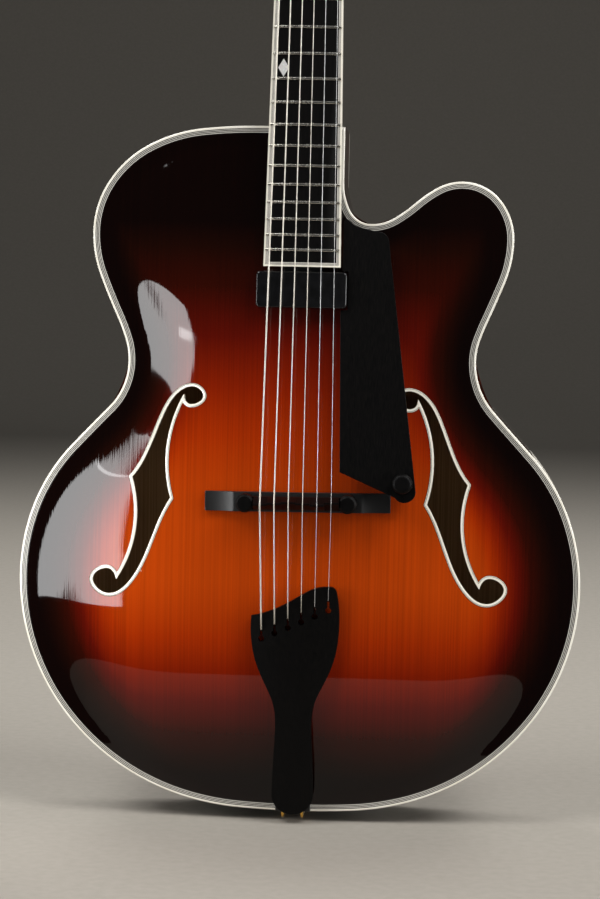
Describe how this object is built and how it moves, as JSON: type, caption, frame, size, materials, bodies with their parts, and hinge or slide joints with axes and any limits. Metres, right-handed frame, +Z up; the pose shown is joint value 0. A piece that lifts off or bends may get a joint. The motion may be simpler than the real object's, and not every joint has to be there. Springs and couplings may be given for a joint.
{
  "type": "archtop guitar",
  "caption": "Hollow archtop guitar with carved arched top and back, rounded cutaway, f-shaped sound holes, floating pickup, adjustable bridge and hanging tailpiece.",
  "frame": {"origin": "centre of the endpin's outer face, the lowest point of the upright instrument", "axes": "+Z up along the strings to the headstock, the front faces -Y, +X to the treble side with the cutaway"},
  "size_m": [0.4324, 0.1411, 1.056],
  "materials": {
    "top_lacquer": "high-gloss sunburst lacquer over spruce, amber middle to black edge",
    "back_lacquer": "high-gloss red-brown lacquer over maple",
    "cream_binding": "polished cream binding",
    "purfling": "polished black and white lines",
    "pale_wood": "bare sanded wood",
    "ebony": "satin ebony",
    "pearl": "polished pearl",
    "bone": "polished bone",
    "steel": "plain steel",
    "fret_wire": "polished nickel silver",
    "plain_string": "bright plain steel wire",
    "wound_string": "wound wire",
    "gold": "polished gold plate",
    "pickup_cover": "black moulded cover",
    "pot_can": "plain metal can"
  },
  "bodies": {
    "instrument": {"back_binding": "cream_binding", "back_lining": "pale_wood", "back_plate": "back_lacquer", "bass_rib": "back_lacquer", "bridge_base": "ebony", "bridge_posts": "gold", "endpin": "gold", "f_hole_bindings": "cream_binding", "fingerboard": "ebony", "fingerboard_binding": "cream_binding", "fingerboard_inlay": "pearl", "frets": "fret_wire", "front_lining": "pale_wood", "headstock_veneer": "ebony", "heel_cap": "back_lacquer", "neck": "back_lacquer", "neck_block": "pale_wood", "nut": "bone", "pickguard": "ebony", "pickguard_support": "ebony", "pickup": "pickup_cover", "string_1": "plain_string", "string_2": "plain_string", "string_3": "wound_string", "string_4": "wound_string", "string_5": "wound_string", "string_6": "wound_string", "tail_block": "pale_wood", "tail_saddle": "ebony", "tail_wire": "gold", "tailpiece": "ebony", "tone_bars": "pale_wood", "top_binding": "cream_binding", "top_plate": "top_lacquer", "top_purfling": "purfling", "treble_rib": "back_lacquer", "truss_rod": "steel", "truss_rod_cover": "ebony", "truss_rod_cover_screws": "gold", "tuner_bushings": "gold", "tuner_housings": "gold", "tuner_screws": "gold", "volume_pot": "pot_can"},
    "bass_thumbwheel_body": {"bass_thumbwheel": "gold"},
    "bridge_saddle_body": {"bridge_saddle": "ebony"},
    "treble_thumbwheel_body": {"treble_thumbwheel": "gold"},
    "truss_rod_nut_body": {"truss_rod_nut": "steel"},
    "tuner_key_1_body": {"tuner_key_1": "gold"},
    "tuner_key_2_body": {"tuner_key_2": "gold"},
    "tuner_key_3_body": {"tuner_key_3": "gold"},
    "tuner_key_4_body": {"tuner_key_4": "gold"},
    "tuner_key_5_body": {"tuner_key_5": "gold"},
    "tuner_key_6_body": {"tuner_key_6": "gold"},
    "tuner_post_1_body": {"tuner_post_1": "gold"},
    "tuner_post_2_body": {"tuner_post_2": "gold"},
    "tuner_post_3_body": {"tuner_post_3": "gold"},
    "tuner_post_4_body": {"tuner_post_4": "gold"},
    "tuner_post_5_body": {"tuner_post_5": "gold"},
    "tuner_post_6_body": {"tuner_post_6": "gold"},
    "volume_knob_body": {"volume_knob": "ebony"}
  },
  "joints": [
    {"name": "tuner_key_1_turn", "type": "hinge", "parent": "instrument", "child": "tuner_key_1_body", "pos_m": [0.02342, 0.00844, 0.93265], "axis": [1, 0, 0], "continuous": true},
    {"name": "tuner_post_1_turn", "type": "hinge", "parent": "instrument", "child": "tuner_post_1_body", "pos_m": [0.02342, -0.01401, 0.93216], "axis": [0, -0.9511, 0.309], "continuous": true},
    {"name": "tuner_key_2_turn", "type": "hinge", "parent": "instrument", "child": "tuner_key_2_body", "pos_m": [0.02537, 0.02111, 0.97164], "axis": [1, 0, 0], "continuous": true},
    {"name": "tuner_post_2_turn", "type": "hinge", "parent": "instrument", "child": "tuner_post_2_body", "pos_m": [0.02537, -0.00134, 0.97116], "axis": [0, -0.9511, 0.309], "continuous": true},
    {"name": "tuner_key_3_turn", "type": "hinge", "parent": "instrument", "child": "tuner_key_3_body", "pos_m": [0.02732, 0.03378, 1.01064], "axis": [1, 0, 0], "continuous": true},
    {"name": "tuner_post_3_turn", "type": "hinge", "parent": "instrument", "child": "tuner_post_3_body", "pos_m": [0.02732, 0.01133, 1.01015], "axis": [0, -0.9511, 0.309], "continuous": true},
    {"name": "tuner_key_4_turn", "type": "hinge", "parent": "instrument", "child": "tuner_key_4_body", "pos_m": [-0.02732, 0.03378, 1.01064], "axis": [-1, 0, 0], "continuous": true},
    {"name": "tuner_post_4_turn", "type": "hinge", "parent": "instrument", "child": "tuner_post_4_body", "pos_m": [-0.02732, 0.01133, 1.01015], "axis": [0, -0.9511, 0.309], "continuous": true},
    {"name": "tuner_key_5_turn", "type": "hinge", "parent": "instrument", "child": "tuner_key_5_body", "pos_m": [-0.02537, 0.02111, 0.97164], "axis": [-1, 0, 0], "continuous": true},
    {"name": "tuner_post_5_turn", "type": "hinge", "parent": "instrument", "child": "tuner_post_5_body", "pos_m": [-0.02537, -0.00134, 0.97116], "axis": [0, -0.9511, 0.309], "continuous": true},
    {"name": "tuner_key_6_turn", "type": "hinge", "parent": "instrument", "child": "tuner_key_6_body", "pos_m": [-0.02342, 0.00844, 0.93265], "axis": [-1, 0, 0], "continuous": true},
    {"name": "tuner_post_6_turn", "type": "hinge", "parent": "instrument", "child": "tuner_post_6_body", "pos_m": [-0.02342, -0.01401, 0.93216], "axis": [0, -0.9511, 0.309], "continuous": true},
    {"name": "saddle_lift", "type": "slide", "parent": "instrument", "child": "bridge_saddle_body", "axis": [0, -1, 0], "range_m": [-0.0014, 0.0028], "deforming": ["string_1", "string_2", "string_3", "string_4", "string_5", "string_6"]},
    {"name": "bass_thumbwheel_turn", "type": "hinge", "parent": "bridge_saddle_body", "child": "bass_thumbwheel_body", "pos_m": [-0.03875, -0.0662, 0.24973], "axis": [0, -1, 0], "range_deg": [-720, 1440]},
    {"name": "treble_thumbwheel_turn", "type": "hinge", "parent": "bridge_saddle_body", "child": "treble_thumbwheel_body", "pos_m": [0.03875, -0.0662, 0.25054], "axis": [0, -1, 0], "range_deg": [-720, 1440]},
    {"name": "volume_knob_turn", "type": "hinge", "parent": "instrument", "child": "volume_knob_body", "pos_m": [0.0795, -0.07329, 0.26703], "axis": [0, -0.9976, 0.0698], "range_deg": [0, 280]},
    {"name": "truss_rod_nut_turn", "type": "hinge", "parent": "instrument", "child": "truss_rod_nut_body", "pos_m": [0, -0.02311, 0.89], "axis": [0, 0.0698, 0.9976], "range_deg": [-180, 180]}
  ],
  "couplings": [
    {"joint": "tuner_post_1_turn", "follows": "tuner_key_1_turn", "ratio": -0.066667},
    {"joint": "tuner_post_2_turn", "follows": "tuner_key_2_turn", "ratio": -0.066667},
    {"joint": "tuner_post_3_turn", "follows": "tuner_key_3_turn", "ratio": -0.066667},
    {"joint": "tuner_post_4_turn", "follows": "tuner_key_4_turn", "ratio": 0.066667},
    {"joint": "tuner_post_5_turn", "follows": "tuner_key_5_turn", "ratio": 0.066667},
    {"joint": "tuner_post_6_turn", "follows": "tuner_key_6_turn", "ratio": 0.066667},
    {"joint": "saddle_lift", "follows": "bass_thumbwheel_turn", "m_per_rad": 0.00011141},
    {"joint": "treble_thumbwheel_turn", "follows": "bass_thumbwheel_turn", "ratio": 1}
  ]
}
